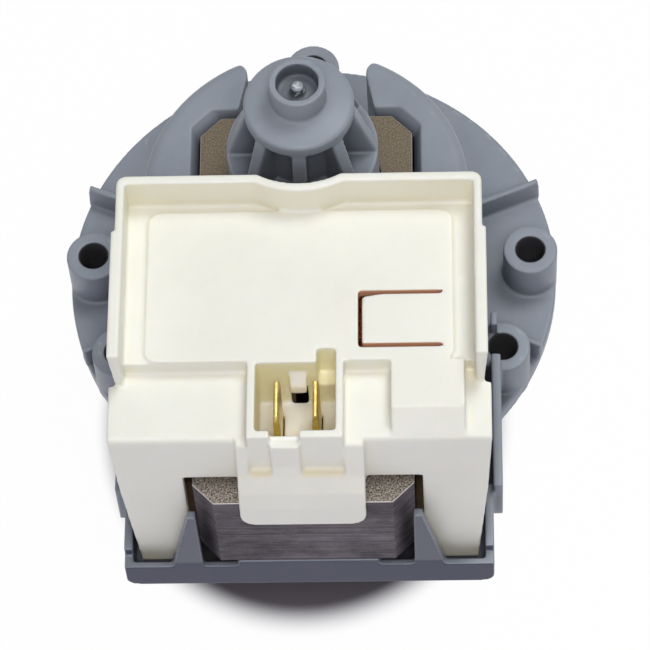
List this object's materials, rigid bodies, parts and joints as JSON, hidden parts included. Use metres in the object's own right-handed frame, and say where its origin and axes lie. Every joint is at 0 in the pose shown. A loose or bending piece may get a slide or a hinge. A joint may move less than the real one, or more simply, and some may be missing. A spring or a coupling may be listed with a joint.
{
  "type": "washer drain pump",
  "caption": "Washing machine drain pump with a permanent-magnet motor: round screw flange, closed rotor can, laminated U core, covered coils with a tab connector and a bladed impeller.",
  "frame": {"origin": "on the rotor axis, in the plane of the flange's mounting face (impeller side)", "axes": "+Z along the rotor axis towards the motor's rear, -Y towards the yoke and the connector, +X to the right in the picture"},
  "size_m": [0.069, 0.0837, 0.076],
  "materials": {
    "body_grey": "satin moulded",
    "lamination_steel": "stamped sheet",
    "bobbin_dark": "moulded",
    "copper_wire": "enamelled wire",
    "cover_ivory": "satin moulded",
    "tab_brass": "plain",
    "bearing_carbon": "sintered",
    "black_rubber": "moulded",
    "carrier_white": "moulded",
    "shaft_steel": "ground",
    "magnet_ferrite": "sintered"
  },
  "bodies": {
    "pump": {"pump_body": "body_grey", "stator_core": "lamination_steel", "left_bobbin": "bobbin_dark", "right_bobbin": "bobbin_dark", "left_winding": "copper_wire", "right_winding": "copper_wire", "coil_cover": "cover_ivory", "left_terminal": "tab_brass", "right_terminal": "tab_brass", "rear_bearing": "bearing_carbon", "rear_grommet": "black_rubber", "front_bearing": "bearing_carbon", "front_grommet": "black_rubber", "bearing_carrier": "carrier_white", "carrier_o_ring": "black_rubber", "lip_seal": "black_rubber", "flange_o_ring": "black_rubber"},
    "rotor": {"shaft": "shaft_steel", "rotor_magnet": "magnet_ferrite", "rotor_hub": "carrier_white", "rear_washer": "shaft_steel", "front_washer": "shaft_steel", "drive_dog": "carrier_white"},
    "wheel": {"impeller": "carrier_white", "impeller_cap": "carrier_white", "stop_bumper": "black_rubber"}
  },
  "joints": [
    {"name": "rotor_spin", "type": "hinge", "parent": "pump", "child": "rotor", "pos_m": [0, 0, 0], "axis": [0, 0, 1], "continuous": true},
    {"name": "impeller_play", "type": "hinge", "parent": "rotor", "child": "wheel", "pos_m": [0, 0, -0.0145], "axis": [0, 0, 1], "range_deg": [-125, 125]}
  ]
}
